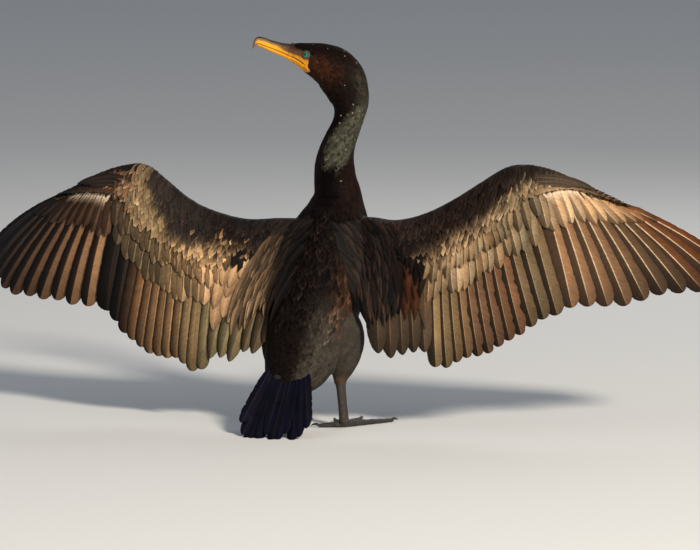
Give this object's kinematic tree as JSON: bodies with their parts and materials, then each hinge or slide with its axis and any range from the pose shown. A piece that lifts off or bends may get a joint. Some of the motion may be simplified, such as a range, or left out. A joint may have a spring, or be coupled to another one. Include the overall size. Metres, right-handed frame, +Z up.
{
  "type": "double-crested cormorant model",
  "caption": "Life-size still model of a cormorant standing upright with both wings held out to dry and its head turned to its left.",
  "frame": {"origin": "middle of the overall footprint, on the floor that the feet and the tail rest on", "axes": "+X towards the bird's right wing, +Y the way its breast faces, +Z up"},
  "size_m": [1.0851, 0.2941, 0.5437],
  "materials": {
    "plumage": "soft, close-lying feathers",
    "wing_plumage": "satin feather vanes",
    "tail_plumage": "satin feather vanes, blue-black",
    "bill_horn": "satin horn",
    "bare_skin": "fine-grained bare skin",
    "eye": "wet gloss",
    "leg_skin": "scaled, slightly oily skin",
    "claw_horn": "satin horn"
  },
  "bodies": {
    "root": {"torso": "plumage", "neck_lower": "plumage", "neck_upper": "plumage", "head": "plumage", "throat_skin": "bare_skin", "eye_left": "eye", "eye_right": "eye", "bill_upper": "bill_horn", "bill_lower": "bill_horn", "wing_left": "wing_plumage", "wing_right": "wing_plumage", "tail": "tail_plumage", "shank_left": "plumage", "tarsus_left": "leg_skin", "foot_left": "leg_skin", "claw_hallux_left": "claw_horn", "claw_inner_left": "claw_horn", "claw_middle_left": "claw_horn", "claw_outer_left": "claw_horn", "shank_right": "plumage", "tarsus_right": "leg_skin", "foot_right": "leg_skin", "claw_hallux_right": "claw_horn", "claw_inner_right": "claw_horn", "claw_middle_right": "claw_horn", "claw_outer_right": "claw_horn"}
  },
  "joints": []
}
